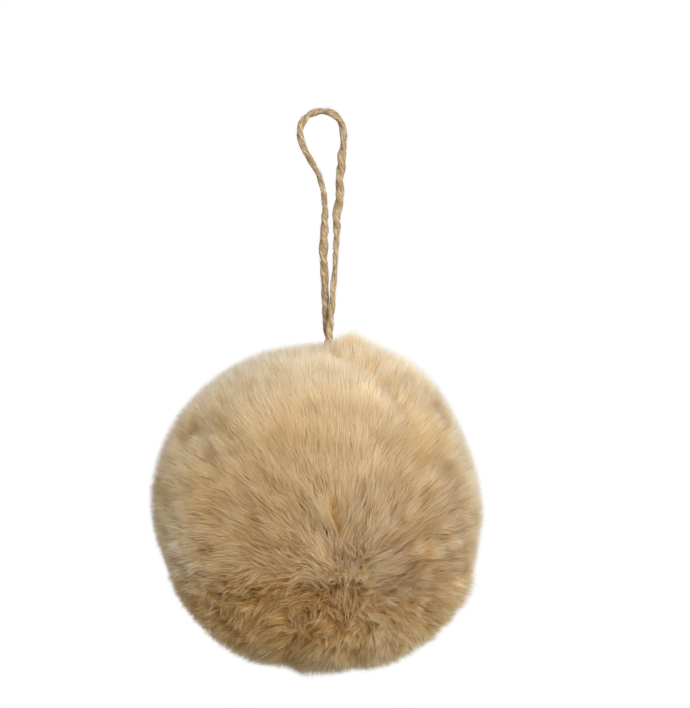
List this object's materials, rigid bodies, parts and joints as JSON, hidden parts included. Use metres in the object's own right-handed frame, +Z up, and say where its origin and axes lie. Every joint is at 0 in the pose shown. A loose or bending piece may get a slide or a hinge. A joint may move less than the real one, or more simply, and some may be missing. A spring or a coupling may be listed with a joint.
{
  "type": "pom pom",
  "caption": "Ball of dense faux fur with a trimmed, slightly lumpy pile, hanging from a loop of two-ply jute twine.",
  "frame": {"origin": "hanging point: inside of the twine loop at its top, where a hook or a finger carries it", "axes": "+Z up along the twine, from the ball to the hanging point; -Y is the front, with the two legs of the loop side by side"},
  "size_m": [0.1256, 0.1264, 0.2134],
  "materials": {
    "fur": "dense soft pile, matt, paler at the tips and darker in its partings",
    "jute": "matt hairy two-ply twine"
  },
  "bodies": {
    "root": {"fur_ball": "fur", "hanging_loop": "jute"}
  },
  "joints": []
}
